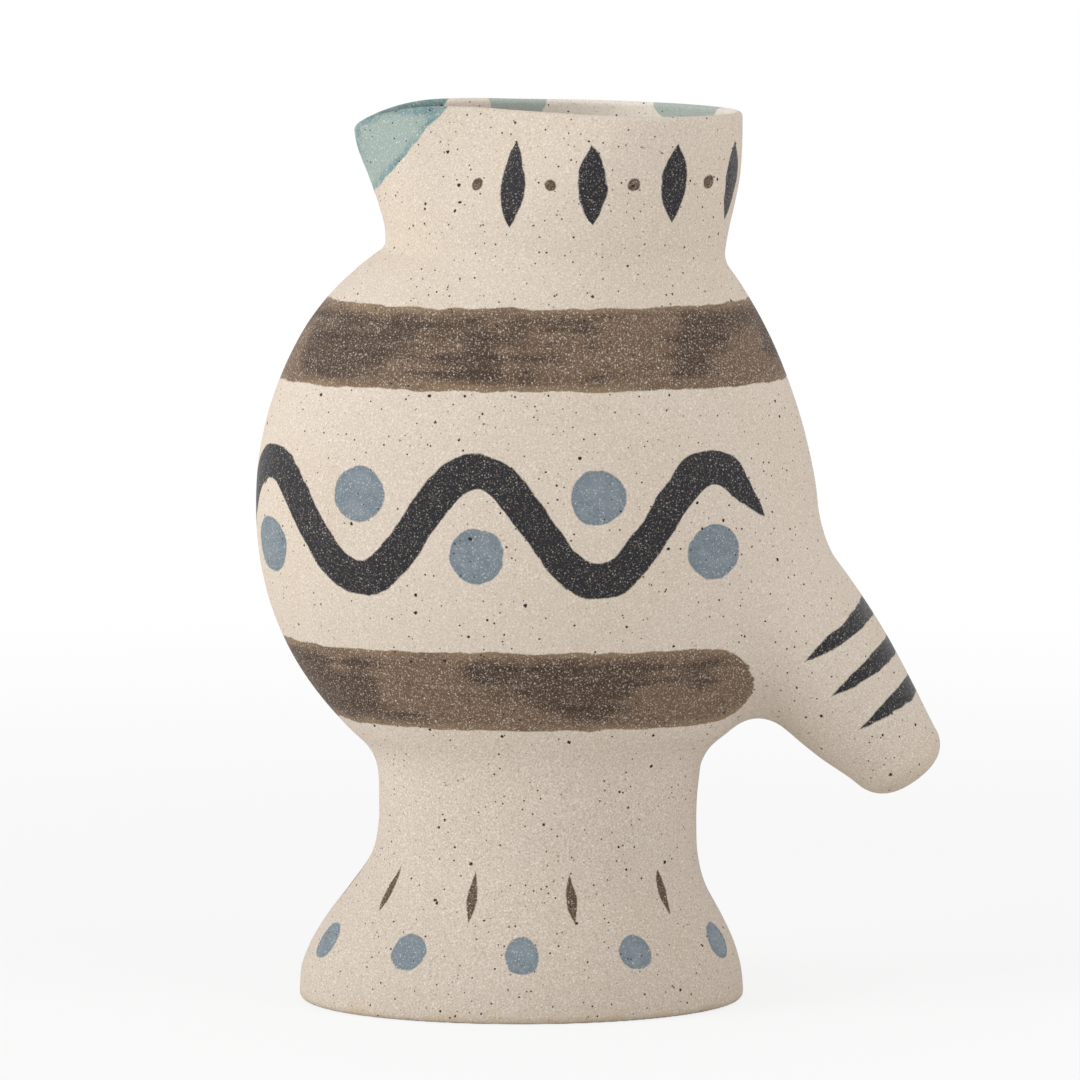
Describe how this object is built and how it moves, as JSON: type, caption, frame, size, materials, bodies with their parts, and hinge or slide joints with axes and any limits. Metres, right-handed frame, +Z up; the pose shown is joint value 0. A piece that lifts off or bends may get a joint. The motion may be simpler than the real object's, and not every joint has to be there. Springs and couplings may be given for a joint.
{
  "type": "bird-shaped stoneware vase",
  "caption": "Hand-finished stoneware vase in the shape of a standing bird: flared foot, oval body, beaked neck and drooping tail.",
  "frame": {"origin": "middle of the flat ring that the foot stands on", "axes": "+Z up through the mouth, +X towards the tail, -X towards the beak, +Y to one side"},
  "size_m": [0.215, 0.112, 0.2822],
  "materials": {
    "painted_stoneware": "matt speckled stoneware with brush-painted bands and dots",
    "bare_base": "unglazed wiped clay"
  },
  "bodies": {
    "root": {"base_floor": "bare_base", "pedestal_foot": "painted_stoneware", "lower_bowl": "painted_stoneware", "upper_bowl": "painted_stoneware", "tail_shell": "painted_stoneware", "neck_collar": "painted_stoneware"}
  },
  "joints": []
}
